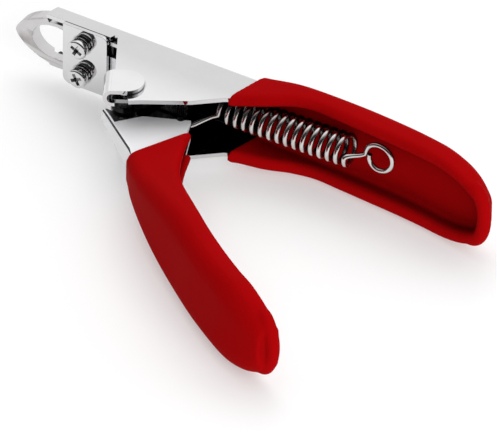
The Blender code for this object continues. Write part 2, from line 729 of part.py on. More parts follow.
def make_spring_pin():
    half = follow(LEVER_HALF_RIM, 12) + 0.3
    return add("spring_pin", cylinder(1.0, -half, half, SPRING_PIN, segments=20), pin_steel, lever_axis)


# ---------------------------------------------------------------- assembly

clear_scene()
parts = new_collection(COLLECTION)
cutters = new_collection("cutters")
cutters.hide_render = True

chrome = material("chrome", (0.80, 0.80, 0.81), 0.08, 1.0)
ring_steel = material("ring_steel", (0.66, 0.64, 0.64), 0.28, 1.0)
blade_steel = material("blade_steel", (0.70, 0.70, 0.72), 0.20, 1.0)
screw_steel = material("screw_steel", (0.72, 0.72, 0.72), 0.14, 1.0)
pin_steel = material("pin_steel", (0.62, 0.62, 0.63), 0.22, 1.0)
spring_steel = material("spring_steel", (0.55, 0.55, 0.56), 0.20, 1.0)
vinyl = material("red_vinyl", (0.42, 0.003, 0.005), 0.32, 0.0)

clipper = bpy.data.objects.new("clipper", None)
parts.objects.link(clipper)
clipper.location = (-CENTRE_X * MM, CENTRE_DROP * MM, GRIP_HALF_WIDTH * MM)
lever_axis = empty("lever_axis", *PIVOT, 0.0, clipper)
blade_slide = empty("blade_slide", BLADE_EDGE, BLADE_BACK, 0.0, clipper)

make_frame()
make_upper_grip()
make_cutting_ring()
make_blade()
make_cover()
make_screw("cover_screw_upper", 1, 28)
make_screw("cover_screw_lower", -1, 62)
make_washer("lock_washer_upper", 1)
make_washer("lock_washer_lower", -1)
make_lever()
make_lower_grip()
make_pivot_pin()
make_bush("pivot_bush_upper", HUB_HALF_WIDTH + FIT, LEAF_Z - EAR_THICKNESS / 2 - FIT)
make_bush("pivot_bush_lower", -HALF_WIDTH + SHEET + FIT, -HUB_HALF_WIDTH - FIT)
make_hinge_hook()
make_spring()
make_spring_pin()
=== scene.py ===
"""The looks of the guillotine nail clipper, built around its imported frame.

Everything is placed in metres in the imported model's own frame. The handles and the spring are drawn in
millimetres in the clipper's plan, where x runs along the frame from the head, drop is the distance from
the frame's spine towards the lever, and z is the height over the middle plane. The lever's own drawing
has along and across instead, from the pivot.
"""

import json
import math

import bmesh
import bpy
from mathutils import Matrix, Vector


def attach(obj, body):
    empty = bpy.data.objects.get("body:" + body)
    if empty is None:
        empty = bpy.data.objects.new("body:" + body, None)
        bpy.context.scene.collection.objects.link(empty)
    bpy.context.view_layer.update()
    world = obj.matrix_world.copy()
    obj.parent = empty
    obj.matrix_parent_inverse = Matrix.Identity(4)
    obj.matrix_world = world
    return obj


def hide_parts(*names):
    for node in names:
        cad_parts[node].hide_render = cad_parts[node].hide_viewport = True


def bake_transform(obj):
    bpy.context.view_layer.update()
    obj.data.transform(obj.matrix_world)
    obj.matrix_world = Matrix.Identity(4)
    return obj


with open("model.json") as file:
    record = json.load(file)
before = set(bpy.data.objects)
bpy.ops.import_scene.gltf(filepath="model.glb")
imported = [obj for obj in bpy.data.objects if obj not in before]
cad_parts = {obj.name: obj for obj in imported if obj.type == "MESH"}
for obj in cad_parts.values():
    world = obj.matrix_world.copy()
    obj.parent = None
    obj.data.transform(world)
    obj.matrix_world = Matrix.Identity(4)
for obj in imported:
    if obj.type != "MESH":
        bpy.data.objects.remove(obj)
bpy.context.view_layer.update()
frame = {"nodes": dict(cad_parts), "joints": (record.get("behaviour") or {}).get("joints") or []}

MM = 0.001
HINGE = next(joint for joint in frame["joints"] if joint["name"] == "lever_hinge")
PIVOT = Vector(HINGE["pos_m"])
PIVOT_DRAWN = (32.4, 20.2)
LEVER_ANGLE = math.radians(39.5)

# Sheet steel: half the widths inside the two channels, and the hub's reach from the pivot
CHANNEL_INSIDE = 7.9
LEVER_INSIDE = 1.9
HUB_REACH = 4.15

# Where a face of the sheet steel looks, as a component of its normal: the limits of each direction, which
# pick the faces given painted shade
TO_MIDDLE = -0.3
TO_LEVER = -0.5
TO_FRAME = -0.2
SIDEWAYS = 0.3
ON_FOLD = (0.55, 0.80)

# Rounding of the steel's edges
WELD = 0.001
FLAT_WITHIN = math.radians(0.4)
ROUNDED_FROM = math.radians(35)
CREASED_FROM = math.radians(40)

# Dipped grips: the wall, its widest rim, where each dip begins and ends, and how far in its slant fades
VINYL = 3.8
RIM_MIDDLE = 10.8
DIP_LINE = 61.2
DIP_SLANT = -0.27
GRIP_END = 134.3
LEVER_DIP_LINE = 22.2
LEVER_DIP_SLANT = -0.22
LEVER_GRIP_END = 105.7
DIP_FADE = 9.5

# The walls' sections: their spacing, their distances back from the end, and what keeps them from folding
SPACING = 1.5
BACK_FROM_END = (12, 10.5, 9, 7.6, 6.4, 5.2, 4.2, 3.3, 2.5, 1.9)
LEAST_RADIUS = 0.15
LEAST_FLAT = 0.1
LEAST_WALL = 0.3
LEAST_FLARE = 0.5
SHOULDER_SHARE = 0.6

# The rim round a grip's end: how far back it starts, its rise over the spine, and how square it turns
END_RIM_LENGTH = 4.5
END_RIM_RISE = 2.2
END_RIM_TURN = 0.8

# The vinyl's skin
VOXEL = 0.42
RELAX_STEPS = 6

# Return spring
WIRE_RADIUS = 0.64
COIL_RADIUS = 3.9
COIL_TURNS = 15
STEPS_PER_TURN = 32
COIL_FRONT, COIL_REAR = (54.3, 7.2), (91.0, 6.1)
COIL_Z = 2.4
LOOP_CENTRE, LOOP_Z = (99.0, 5.9), 3.3
LOOP_ARC, LOOP_STEPS = (170, -181), 72
LOOP_CURL, CURL_STEPS = 1.1, 16
SPRING_PIN, SPRING_PIN_RADIUS = (47.4, 18.0), 1.0
HOOK_ARC, HOOK_STEPS = (200, -40), 20
HOOK_Z, HOOK_PLAY = 0.2, 0.35
FRONT_LEAD = [(50.0, 15.4, 0.6), (51.4, 13.4, 1.2), (52.9, 11.8, 1.9)]
COIL_EXIT, LOOP_ENTRY, BEND_STEPS = Vector((0.8, -0.6, 5.0)), Vector((2.5, -3.0, 3.0)), 12
CUT_FROM = math.radians(60)

# Camera
AIM_FROM_PIVOT = Vector((0.0496, -0.0218, -0.0002))
CAMERA_DIRECTION = Vector((0.4038, -0.6848, 0.6067))
CAMERA_RIGHT = Vector((0.8565, 0.5160, 0.0125))
CAMERA_DISTANCE = 3.0
VIEW_WIDTH = 0.1256
SENSOR = 36.0

# Stage, in metres and watts
FLOOR_SIZE = 12.0
FLOOR_GAP = 0.0005
KEY_PLACE, KEY_SIZE, KEY_POWER = Vector((-0.35, 0.45, 0.75)), 0.7, 2.5
FILL_PLACE, FILL_SIZE, FILL_POWER = Vector((0.75, -0.6, 0.45)), 0.9, 9
CARD_MIDDLE = Vector((-0.03, 0.09, 0.172))
CARD_SIZE = 0.34
CARD_TONES = (0.95, 1.20)
CARD_FADE = (0.070, 0.082)
SKY_TOWARDS = (-0.18, 0.80, 0.57)
SKY_TONES = (0.03, 1.0)
SKY_FADE = (-0.05, 0.55)

# The painted shade colour of the plating in its crevices and on its channels' insides
PAINTED_SHADE_STEEL = (0.10, 0.10, 0.105)


# ---------------------------------------------------------------- drawing helpers


def at(x, drop, z):
    """A point of the drawing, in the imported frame."""
    return PIVOT + Vector(((x - PIVOT_DRAWN[0]) * MM, (PIVOT_DRAWN[1] - drop) * MM, z * MM))


def at_lever(along, across, z):
    """A point given along and across the lever from the pivot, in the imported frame."""
    x = PIVOT_DRAWN[0] + along * math.cos(LEVER_ANGLE) + across * math.sin(LEVER_ANGLE)
    drop = PIVOT_DRAWN[1] + along * math.sin(LEVER_ANGLE) - across * math.cos(LEVER_ANGLE)
    return at(x, drop, z)


def follow(keys, t):
    """A smooth value at t through (t, value) keys, held at the first and last."""
    if t <= keys[0][0]:
        return keys[0][1]
    if t >= keys[-1][0]:
        return keys[-1][1]
    index = max(i for i, key in enumerate(keys) if key[0] <= t)
    (t0, a), (t1, b) = keys[index], keys[index + 1]
    before = keys[max(index - 1, 0)]
    after = keys[min(index + 2, len(keys) - 1)]
    slope_in = (b - before[1]) / (t1 - before[0])
    slope_out = (after[1] - a) / (after[0] - t0)
    span = t1 - t0
    s = (t - t0) / span
    return (
        (2 * s**3 - 3 * s**2 + 1) * a
        + (s**3 - 2 * s**2 + s) * span * slope_in
        + (3 * s**2 - 2 * s**3) * b
        + (s**3 - s**2) * span * slope_out
    )


def steps_between(start, end, spacing):
    """Even steps from start to end, about one spacing apart."""
    count = max(1, round((end - start) / spacing))
    return [start + (end - start) * i / count for i in range(count + 1)]


def sweep(start, end, count):
    """The angles of an arc from start to end, given in degrees."""
    return [math.radians(start + (end - start) * i / count) for i in range(count + 1)]


def new_object(name, data):
    """A new object in the scene that holds this mesh, curve, light or camera."""
    obj = bpy.data.objects.new(name, data)
    bpy.context.scene.collection.objects.link(obj)
    return obj


def applied(obj):
    """The object with its modifiers made part of its mesh."""
    bpy.context.view_layer.update()
    graph = bpy.context.evaluated_depsgraph_get()
    mesh = bpy.data.meshes.new_from_object(obj.evaluated_get(graph))
    obj.modifiers.clear()
    obj.data = mesh
    return obj


def round_bar(name, centres, radius, resolution):
    """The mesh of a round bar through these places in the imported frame, its radius in millimetres."""
    curve = bpy.data.curves.new(name, "CURVE")
    curve.dimensions = "3D"
    curve.bevel_depth = radius * MM
    curve.bevel_resolution = resolution
    curve.use_fill_caps = True
    spline = curve.splines.new("POLY")
    spline.points.add(len(centres) - 1)
    for point, place in zip(spline.points, centres):
        point.co = (*place, 1)
    bar = new_object(name, curve)
    bpy.context.view_layer.update()
    mesh = bpy.data.meshes.new_from_object(bar.evaluated_get(bpy.context.evaluated_depsgraph_get()))
    bpy.data.objects.remove(bar, do_unlink=True)
    return mesh


def wear(obj, look, body, slot, *nodes):
    """Gives a piece its material, its body and the frame nodes that it stands for. The slot argument is not
    used.
    """
    obj.data.materials.clear()
    obj.data.materials.append(look)
    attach(obj, body)
    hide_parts(*nodes)
    return obj


# ---------------------------------------------------------------- materials


def principled(name, colour, metallic):
    """A new material, its node tree and its shader."""
    made = bpy.data.materials.new(name)
    made.use_nodes = True
    shader = made.node_tree.nodes["Principled BSDF"]
    shader.inputs["Base Color"].default_value = (*colour, 1.0)
    shader.inputs["Metallic"].default_value = metallic
    return made, made.node_tree, shader


def noise(tree, scale, detail=3.0, stretch=(1.0, 1.0, 1.0), roughness=0.5):
    """Noise over the piece's own coordinates, in features of 1/scale metres."""
    nodes, links = tree.nodes, tree.links
    place = nodes.new("ShaderNodeTexCoord")
    mapping = nodes.new("ShaderNodeMapping")
    mapping.inputs["Scale"].default_value = stretch
    texture = nodes.new("ShaderNodeTexNoise")
    texture.inputs["Scale"].default_value = scale
    texture.inputs["Detail"].default_value = detail
    texture.inputs["Roughness"].default_value = roughness
    links.new(place.outputs["Object"], mapping.inputs["Vector"])
    links.new(mapping.outputs["Vector"], texture.inputs["Vector"])
    return texture.outputs["Fac"]


def spread(tree, value, low, high, start=0.3, end=0.7):
    """The values from start to end, spread from low to high."""
    ranged = tree.nodes.new("ShaderNodeMapRange")
    ranged.inputs["From Min"].default_value = start
    ranged.inputs["From Max"].default_value = end
    ranged.inputs["To Min"].default_value = low
    ranged.inputs["To Max"].default_value = high
    tree.links.new(value, ranged.inputs["Value"])
    return ranged.outputs["Result"]


def between(tree, factor, first, second):
    """A colour between two, by a factor. Each is a colour or another node's output."""
    mix = tree.nodes.new("ShaderNodeMix")
    mix.data_type = "RGBA"
    for socket, colour in (("A", first), ("B", second)):
        if isinstance(colour, tuple):
            mix.inputs[socket].default_value = (*colour, 1.0)
        else:
            tree.links.new(colour, mix.inputs[socket])
    tree.links.new(factor, mix.inputs["Factor"])
    return mix.outputs["Result"]


def raised(tree, height, strength, distance, under=None):
    """Surface normals for a relief of this depth in metres, laid over another relief if there is one."""
    bump = tree.nodes.new("ShaderNodeBump")
    bump.inputs["Strength"].default_value = strength
    bump.inputs["Distance"].default_value = distance
    tree.links.new(height, bump.inputs["Height"])
    if under:
        tree.links.new(under, bump.inputs["Normal"])
    return bump.outputs["Normal"]


def worn_edge(tree):
    """1 on rounded edges that stand out and 0 elsewhere."""
    geometry = tree.nodes.new("ShaderNodeNewGeometry")
    return spread(tree, geometry.outputs["Pointiness"], 0.0, 1.0, 0.52, 0.6)


def in_crevices(tree, reach, low, high, own_shape_only):
    """0 deep in a gap or corner narrower than reach, in millimetres, and 1 on open surface."""
    occlusion = tree.nodes.new("ShaderNodeAmbientOcclusion")
    occlusion.samples = 8
    occlusion.inputs["Distance"].default_value = reach * MM
    occlusion.only_local = own_shape_only
    return spread(tree, occlusion.outputs["AO"], 0.0, 1.0, low, high)


def shade_painted_in_crevices(tree, tone, reach, shade_colour, low=0.25, high=0.85, own_shape_only=False):
    """A colour that turns to a painted shade colour in gaps and corners, where shade falls."""
    return between(tree, in_crevices(tree, reach, low, high, own_shape_only), shade_colour, tone)


def chrome_look():
    """Polished plate: almost a mirror, with faint polishing marks, smudges, a slight waviness and painted
    shade in its crevices.
    """
    made, tree, shader = principled("chrome", (0.70, 0.70, 0.71), 1.0)
    smudge = noise(tree, 160, 5.0)
    marks = noise(tree, 900, 4.0, (1.0, 0.12, 1.0))
    tone = spread(tree, smudge, 0.0, 1.0, 0.35, 0.7)
    plating = between(tree, tone, (0.71, 0.71, 0.715), (0.69, 0.69, 0.70))
    tree.links.new(shade_painted_in_crevices(tree, plating, 0.9, PAINTED_SHADE_STEEL), shader.inputs["Base Color"])
    tree.links.new(spread(tree, smudge, 0.03, 0.08), shader.inputs["Roughness"])
    waves = raised(tree, noise(tree, 40, 1.0), 0.05, 0.0004)
    tree.links.new(raised(tree, marks, 0.03, 0.00004, waves), shader.inputs["Normal"])
    return made


def lever_bright_painted_chrome_look():
    """The lever's plating: brighter and softer than the frame's, a mostly diffuse copy painted light in
    place of the white reflection on its plate, over a tumbled surface, with painted shade in its crevices.
    """
    made, tree, shader = principled("lever_bright_painted_chrome", (0.86, 0.86, 0.87), 0.2)
    smudge = noise(tree, 160, 5.0)
    plating = between(tree, smudge, (0.90, 0.90, 0.91), (0.84, 0.84, 0.86))
    tree.links.new(shade_painted_in_crevices(tree, plating, 0.7, PAINTED_SHADE_STEEL), shader.inputs["Base Color"])
    tree.links.new(spread(tree, smudge, 0.26, 0.36), shader.inputs["Roughness"])
    tree.links.new(raised(tree, noise(tree, 1200, 3.0), 0.04, 0.00003), shader.inputs["Normal"])
    return made


def channel_painted_shade_look():
    """The inside of the channels, painted nearly black as the shade there, with faint drawing lines."""
    made, tree, shader = principled("channel_inside_painted_shade", (0.05, 0.05, 0.052), 1.0)
    lines = noise(tree, 260, 4.0, (1.0, 0.25, 0.25))
    tree.links.new(between(tree, lines, (0.015, 0.015, 0.016), PAINTED_SHADE_STEEL), shader.inputs["Base Color"])
    tree.links.new(spread(tree, lines, 0.14, 0.28), shader.inputs["Roughness"])
    tree.links.new(raised(tree, lines, 0.15, 0.0001), shader.inputs["Normal"])
    return made


def ring_steel_look():
    """Tumbled, plated steel: satin, with a fine grain, pits, brighter edges and painted shade in its
    crevices.
    """
    made, tree, shader = principled("ring_steel", (0.62, 0.60, 0.60), 1.0)
    cloud = noise(tree, 300, 5.0)
    grain = noise(tree, 2600, 6.0, roughness=0.7)
    tone = between(tree, spread(tree, cloud, 0.0, 1.0), (0.35, 0.325, 0.32), (0.50, 0.485, 0.48))
    edged = between(tree, worn_edge(tree), tone, (0.62, 0.61, 0.61))
    # painted shade: brown-black in the ring's crevices
    tree.links.new(shade_painted_in_crevices(tree, edged, 1.0, (0.10, 0.085, 0.08)), shader.inputs["Base Color"])
    tree.links.new(spread(tree, cloud, 0.24, 0.40), shader.inputs["Roughness"])
    coarse = raised(tree, cloud, 0.18, 0.0001)
    tree.links.new(raised(tree, grain, 0.12, 0.00002, coarse), shader.inputs["Normal"])
    return made


def blade_steel_look():
    """Surface-ground steel: fine lines across the blade."""
    made, tree, shader = principled("blade_steel", (0.66, 0.66, 0.68), 1.0)
    lines = noise(tree, 3800, 3.0, (1.0, 1.0, 0.03))
    steel = between(tree, lines, (0.56, 0.56, 0.58), (0.78, 0.78, 0.80))
    tree.links.new(steel, shader.inputs["Base Color"])
    tree.links.new(spread(tree, lines, 0.16, 0.32), shader.inputs["Roughness"])
    tree.links.new(raised(tree, lines, 0.10, 0.00003), shader.inputs["Normal"])
    return made


def screw_steel_look():
    """Bright plating over a turned and stamped head, with painted shade in its recess and crevices."""
    made, tree, shader = principled("screw_steel", (0.70, 0.70, 0.71), 1.0)
    cloud = noise(tree, 700, 4.0)
    plating = between(tree, cloud, (0.60, 0.60, 0.61), (0.76, 0.76, 0.76))
    tree.links.new(shade_painted_in_crevices(tree, plating, 0.8, (0.04, 0.037, 0.035)), shader.inputs["Base Color"])
    tree.links.new(spread(tree, cloud, 0.09, 0.22), shader.inputs["Roughness"])
    tree.links.new(raised(tree, noise(tree, 1700, 4.0), 0.10, 0.00004), shader.inputs["Normal"])
    return made


def pin_steel_look():
    """Turned steel: fine rings round the Z axis, seen as lines across it, with painted shade in its
    crevices.
    """
    made, tree, shader = principled("pin_steel", (0.58, 0.58, 0.59), 1.0)
    rings = noise(tree, 3000, 2.0, (0.05, 0.05, 1.0))
    steel = between(tree, rings, (0.50, 0.50, 0.51), (0.74, 0.74, 0.75))
    tree.links.new(shade_painted_in_crevices(tree, steel, 1.2, (0.03, 0.03, 0.03)), shader.inputs["Base Color"])
    tree.links.new(spread(tree, rings, 0.16, 0.30), shader.inputs["Roughness"])
    tree.links.new(raised(tree, rings, 0.10, 0.00003), shader.inputs["Normal"])
    return made


def spring_steel_look():
    """Plated spring wire: bright, with drawn streaks and duller patches, and painted shade where its own
    turns and nearby parts close round it.
    """
    made, tree, shader = principled("spring_steel", (0.60, 0.59, 0.58), 1.0)
    patches = noise(tree, 420, 5.0)
    plating = between(tree, patches, (0.56, 0.55, 0.54), (0.84, 0.83, 0.81))
    shaded = shade_painted_in_crevices(tree, plating, 9.0, (0.02, 0.018, 0.017), 0.40, 0.78)
    tree.links.new(shaded, shader.inputs["Base Color"])
    tree.links.new(spread(tree, patches, 0.12, 0.28), shader.inputs["Roughness"])
    tree.links.new(raised(tree, noise(tree, 2400, 3.0), 0.10, 0.00003), shader.inputs["Normal"])
    return made


def vinyl_look():
    """Dipped red vinyl: a soft, even skin with a slow ripple from draining, a fine orange peel and painted
    shade deep in its trough.
    """
    made, tree, shader = principled("red_vinyl", (0.36, 0.002, 0.003), 0.0)
    cloud = noise(tree, 60, 4.0)
    tone = between(tree, cloud, (0.32, 0.0014, 0.0020), (0.37, 0.0022, 0.0034))
    shaded = shade_painted_in_crevices(tree, tone, 16.0, (0.05, 0.0005, 0.0007), 0.40, 0.97, own_shape_only=True)
    tree.links.new(shaded, shader.inputs["Base Color"])
    tree.links.new(spread(tree, cloud, 0.42, 0.52), shader.inputs["Roughness"])
    shader.inputs["Specular IOR Level"].default_value = 0.002
    shader.inputs["IOR"].default_value = 1.5
    ripple = raised(tree, noise(tree, 110, 2.0), 0.10, 0.0006)
    tree.links.new(raised(tree, noise(tree, 1500, 3.0), 0.08, 0.00005, ripple), shader.inputs["Normal"])
    return made


# ---------------------------------------------------------------- grips

# Each pair is a place along the handle and a size there: how deep the spine or rim lies, half its width,
# or how deep the rounded shoulder between them is.
SPINE_DROP = [(60, 0.6), (66, 0.0), (73, -0.8), (90, -0.8), (104, 0.2), (114, 1.6), (122, 3.4),
              (128, 5.4), (134, 9.0)]
RIM_DROP = [(56.6, 12.0), (60, 10.2), (67, 7.6), (73, 4.7), (79, 3.4), (86, 3.8), (95, 4.5),
            (105, 5.3), (115, 6.5), (124, 8.4), (129, 9.6), (134, 10.4)]
HALF_RIM = [(58, 8.7), (62, 9.0), (68, 10.1), (74, 10.7), (78, 10.8), (116, 10.8), (123, 9.9),
            (128, 8.0), (131.5, 5.4), (134, 2.2)]
HALF_SPINE = [(58, 7.7), (64, 7.2), (74, 6.8), (116, 6.8), (123, 5.8), (128, 4.4), (131.5, 2.8),
              (134, 1.0)]
SHOULDER = [(58, 1.0), (66, 1.8), (76, 2.4), (122, 2.4), (130, 1.8), (134, 0.6)]
LEVER_SPINE_ACROSS = [(20, -5.8), (24, -6.3), (29, -7.2), (36, -7.7), (46, -7.7), (60, -7.2), (72, -6.7),
                      (82, -5.7), (90, -4.5), (96, -2.9), (101, -0.9), (105.4, 1.6)]
LEVER_RIM_ACROSS = [(18.5, 9.6), (24.2, 5.7), (31.5, 1.9), (38, -0.5), (46, -2.0), (60, -2.8),
                    (72, -2.5), (85, -1.3), (93, 0.1), (99, 1.3), (105.4, 3.0)]
LEVER_HALF_RIM = [(-2, 1.3), (8, 2.1), (20, 3.2), (26, 3.9), (32, 4.9), (38, 6.5), (45, 8.3),
                  (53, 9.9), (60, 10.7), (64, 10.8), (90, 10.8), (96, 9.6), (100, 7.8), (103, 5.4),
                  (105.4, 2.2)]
LEVER_HALF_SPINE = [(-2, 0.6), (8, 1.3), (20, 2.3), (30, 3.3), (38, 4.7), (46, 6.1), (56, 6.8),
                    (86, 6.8), (94, 5.6), (100, 3.8), (103, 2.6), (105.4, 1.0)]
LEVER_SHOULDER = [(-2, 0.6), (20, 0.9), (34, 1.4), (50, 2.4), (94, 2.4), (101, 1.6), (105.4, 0.6)]


def wall_line(spine, side, corner_depth, corner_width, rim):
    """One face of a trough's wall in (depth, z), from the far rim round the spine to the near rim."""
    near = [(spine, (side - corner_width) * share) for share in (0.25, 0.5, 0.75)]
    for angle in sweep(0, 90, 8):
        depth = spine + corner_depth * (1 - math.cos(angle))
        near.append((depth, side - corner_width * (1 - math.sin(angle))))
    start = spine + corner_depth
    near += [(start + (rim - start) * share, side) for share in (0.3, 0.6, 1.0)]
    return [(w, -z) for w, z in reversed(near)] + near


def wall_outline(half_spine, half_rim, shoulder, depth):
    """The closed outline of a grip's wall, with round rims."""
    half = VINYL / 2
    rim = max(depth, half + LEAST_WALL)
    inner_side = half_rim - half
    corner = half_rim - half_spine
    inner_depth = min(max(LEAST_RADIUS, shoulder - half), rim - half - LEAST_FLAT)
    inner_width = min(max(LEAST_RADIUS, corner - half), inner_side - LEAST_FLAT)
    outer_depth = min(shoulder + half, rim + half - 2 * LEAST_FLAT)
    inside = wall_line(half, inner_side, inner_depth, inner_width, rim)
    outside = wall_line(-half, half_rim + half, outer_depth, corner + half, rim)
    turns = sweep(0, 180, 10)[1:-1]
    near_rim = [(rim + half * math.sin(angle), half_rim - half * math.cos(angle)) for angle in turns]
    far_rim = [(w, -z) for w, z in reversed(near_rim)]
    return inside + near_rim + outside[::-1] + far_rim


def wall_depth(rims, along, across, slant):
    """How deep a wall is at a slanted station, whose rim lies ahead of or behind its spine."""
    depth = follow(rims, along) - across
    for _ in range(8):
        depth = follow(rims, along + slant * depth) - across
    return depth


def loft_into(bm, rings):
    """Joins these closed rings of points into one capped body."""
    rows = [[bm.verts.new(point) for point in ring] for ring in rings]
    for row, following in zip(rows, rows[1:]):
        for i in range(len(row)):
            j = (i + 1) % len(row)
            bm.faces.new((row[i], row[j], following[j], following[i]))
    caps = [bm.faces.new(rows[0]), bm.faces.new(rows[-1])]
    bm.normal_update()
    bmesh.ops.triangulate(bm, faces=caps)


def grip_wall(name, to_frame, tables, start, start_slant, end):
    """A dipped grip's wall, lofted along the handle."""
    spines, rims, half_rims, half_spines, shoulders = tables
    bm = bmesh.new()
    rings = []
    near_end = [end - back for back in BACK_FROM_END]
    for along in steps_between(start, near_end[0] - SPACING, SPACING) + near_end:
        slant = start_slant * max(0.0, 1 - (along - start) / DIP_FADE)
        across = follow(spines, along)
        depth = wall_depth(rims, along, across, slant)
        half_rim = min(follow(half_rims, along), RIM_MIDDLE)
        half_spine = min(half_rim - LEAST_FLARE, follow(half_spines, along))
        shoulder = min(follow(shoulders, along), depth * SHOULDER_SHARE)
        outline = wall_outline(half_spine, half_rim, shoulder, depth)
        rings.append([to_frame(along + slant * w, across + w, z) for w, z in outline])
    loft_into(bm, rings)
    mesh = bpy.data.meshes.new(name)
    bmesh.ops.recalc_face_normals(bm, faces=bm.faces)
    bm.to_mesh(mesh)
    bm.free()
    return new_object(name, mesh)


def skin(obj, bead):
    """The wall and its end rim made one soft skin."""
    bm = bmesh.new()
    bm.from_mesh(obj.data)
    bm.from_mesh(bead)
    bm.to_mesh(obj.data)
    bm.free()
    remesh = obj.modifiers.new("skin", "REMESH")
    remesh.mode = "VOXEL"
    remesh.voxel_size = VOXEL * MM * 1
    remesh.use_smooth_shade = True
    relax = obj.modifiers.new("relax", "SMOOTH")
    relax.factor = 0.5
    relax.iterations = RELAX_STEPS
    return applied(obj)


def end_rim(to_frame, tables, end):
    """The middle of the rim round a grip's end, from one side to the other."""
    spines, rims, half_rims = tables[:3]
    points = []
    last = end - VINYL / 2
    start = last - END_RIM_LENGTH
    half_start = min(follow(half_rims, start), RIM_MIDDLE)
    for angle in sweep(0, 180, 24):
        along = start + (last - start) * math.sin(angle) ** END_RIM_TURN
        across = max(follow(rims, along), follow(spines, along) + END_RIM_RISE)
        points.append(to_frame(along, across, half_start * math.cos(angle)))
    return points


def make_grip(name, to_frame, tables, start, start_slant, end, look, body):
    """A dipped grip: its wall, closed by a rim that runs round its end."""
    wall = grip_wall(f"{name}_skin", to_frame, tables, start, start_slant, end)
    bead = round_bar(f"{name}_end_rim", end_rim(to_frame, tables, end), VINYL / 2, 6)
    wear(skin(wall, bead), look, body, "red_vinyl", name)


def make_upper_grip(look):
    tables = (SPINE_DROP, RIM_DROP, HALF_RIM, HALF_SPINE, SHOULDER)
    make_grip("upper_grip", at, tables, DIP_LINE, DIP_SLANT, GRIP_END, look, "frame")


def make_lower_grip(look):
    tables = (LEVER_SPINE_ACROSS, LEVER_RIM_ACROSS, LEVER_HALF_RIM, LEVER_HALF_SPINE, LEVER_SHOULDER)
    make_grip("lower_grip", at_lever, tables, LEVER_DIP_LINE, LEVER_DIP_SLANT, LEVER_GRIP_END, look, "lever")


# ---------------------------------------------------------------- steel


def refined(node, name, rounding, look, body, slot):
    """A frame node with its sharp edges rounded, so that they catch the light."""
    bm = bmesh.new()
    bm.from_mesh(frame["nodes"][node].data)
    bmesh.ops.remove_doubles(bm, verts=bm.verts, dist=WELD * MM)
    bmesh.ops.dissolve_limit(bm, angle_limit=FLAT_WITHIN, verts=bm.verts, edges=bm.edges)
    folds = [edge for edge in bm.edges if len(edge.link_faces) == 2]
    edges = [edge for edge in folds if edge.calc_face_angle() > ROUNDED_FROM]
    bmesh.ops.bevel(
        bm, geom=edges, offset=rounding * MM, segments=3, profile=0.5, affect="EDGES", clamp_overlap=True
    )
    mesh = bpy.data.meshes.new(name)
    bm.to_mesh(mesh)
    bm.free()
    mesh.shade_smooth()
    mesh.set_sharp_from_angle(angle=CREASED_FROM)
    obj = new_object(name, mesh)
    weighted = obj.modifiers.new("flat faces stay flat", "WEIGHTED_NORMAL")
    weighted.keep_sharp = True
    return wear(obj, look, body, slot, node)


def darken_inside(obj, look):
    """The faces of a channel that look towards its middle plane or out of its open side get the painted
    shade.
    """
    obj.data.materials.append(look)
    for face in obj.data.polygons:
        height = face.center.z - PIVOT.z
        faces_middle = face.normal.z * math.copysign(1.0, height) < TO_MIDDLE
        floor_of_channel = face.normal.y < TO_LEVER and abs(height) < CHANNEL_INSIDE * MM
        if faces_middle or floor_of_channel:
            face.material_index = 1


def darken_hub(obj, look):
    """The lever's hub and inner faces get the painted shade, and so does a line along its outer folds."""
    obj.data.materials.append(look)
    outward = (at_lever(0, -1, 0) - at_lever(0, 0, 0)).normalized()
    for face in obj.data.polygons:
        from_pivot = face.center - PIVOT
        on_hub = math.hypot(from_pivot.x, from_pivot.y) < HUB_REACH * MM
        inside = abs(from_pivot.z) < LEVER_INSIDE * MM and face.normal.y > TO_FRAME
        lean = face.normal.dot(outward)
        on_fold = ON_FOLD[0] < lean < ON_FOLD[1] and abs(face.normal.z) > SIDEWAYS
        if on_hub or inside or on_fold:
            face.material_index = 1


def bent_wire(start, leaving, end, arriving, count):
    """Points on a smooth bend between two places, leaving and arriving along the two vectors."""
    bend = []
    for i in range(1, count):
        t = i / count
        place = start * (2 * t**3 - 3 * t**2 + 1) + leaving * (t**3 - 2 * t**2 + t)
        bend.append(tuple(place + end * (3 * t**2 - 2 * t**3) + arriving * (t**3 - t**2)))
    return bend


def spring_points():
    """The wire's centre: the front hook round its pin, the coil, and the open rear loop."""
    front, rear = Vector(COIL_FRONT), Vector(COIL_REAR)
    hook_radius = SPRING_PIN_RADIUS + HOOK_PLAY + WIRE_RADIUS
    route = []
    for angle in sweep(*HOOK_ARC, HOOK_STEPS):
        x = SPRING_PIN[0] + hook_radius * math.cos(angle)
        route.append((x, SPRING_PIN[1] + hook_radius * math.sin(angle), HOOK_Z))
    route += FRONT_LEAD
    coil_steps = COIL_TURNS * STEPS_PER_TURN
    for i in range(coil_steps + 1):
        centre = front.lerp(rear, i / coil_steps)
        turn = 2 * math.pi * i / STEPS_PER_TURN
        drop = centre.y + COIL_RADIUS * math.cos(turn)
        route.append((centre.x, drop, COIL_Z + COIL_RADIUS * math.sin(turn)))
    coil_end = Vector(route[-1])
    loop_start = Vector((LOOP_CENTRE[0] - COIL_RADIUS, LOOP_CENTRE[1], LOOP_Z))
    route += bent_wire(coil_end, COIL_EXIT, loop_start, LOOP_ENTRY, BEND_STEPS)
    for i, angle in enumerate(sweep(*LOOP_ARC, LOOP_STEPS)):
        curl = max(0.0, (i - LOOP_STEPS) / CURL_STEPS + 1)
        radius = COIL_RADIUS - LOOP_CURL * curl
        x = LOOP_CENTRE[0] + radius * math.cos(angle)
        route.append((x, LOOP_CENTRE[1], LOOP_Z + radius * math.sin(angle)))
    return route


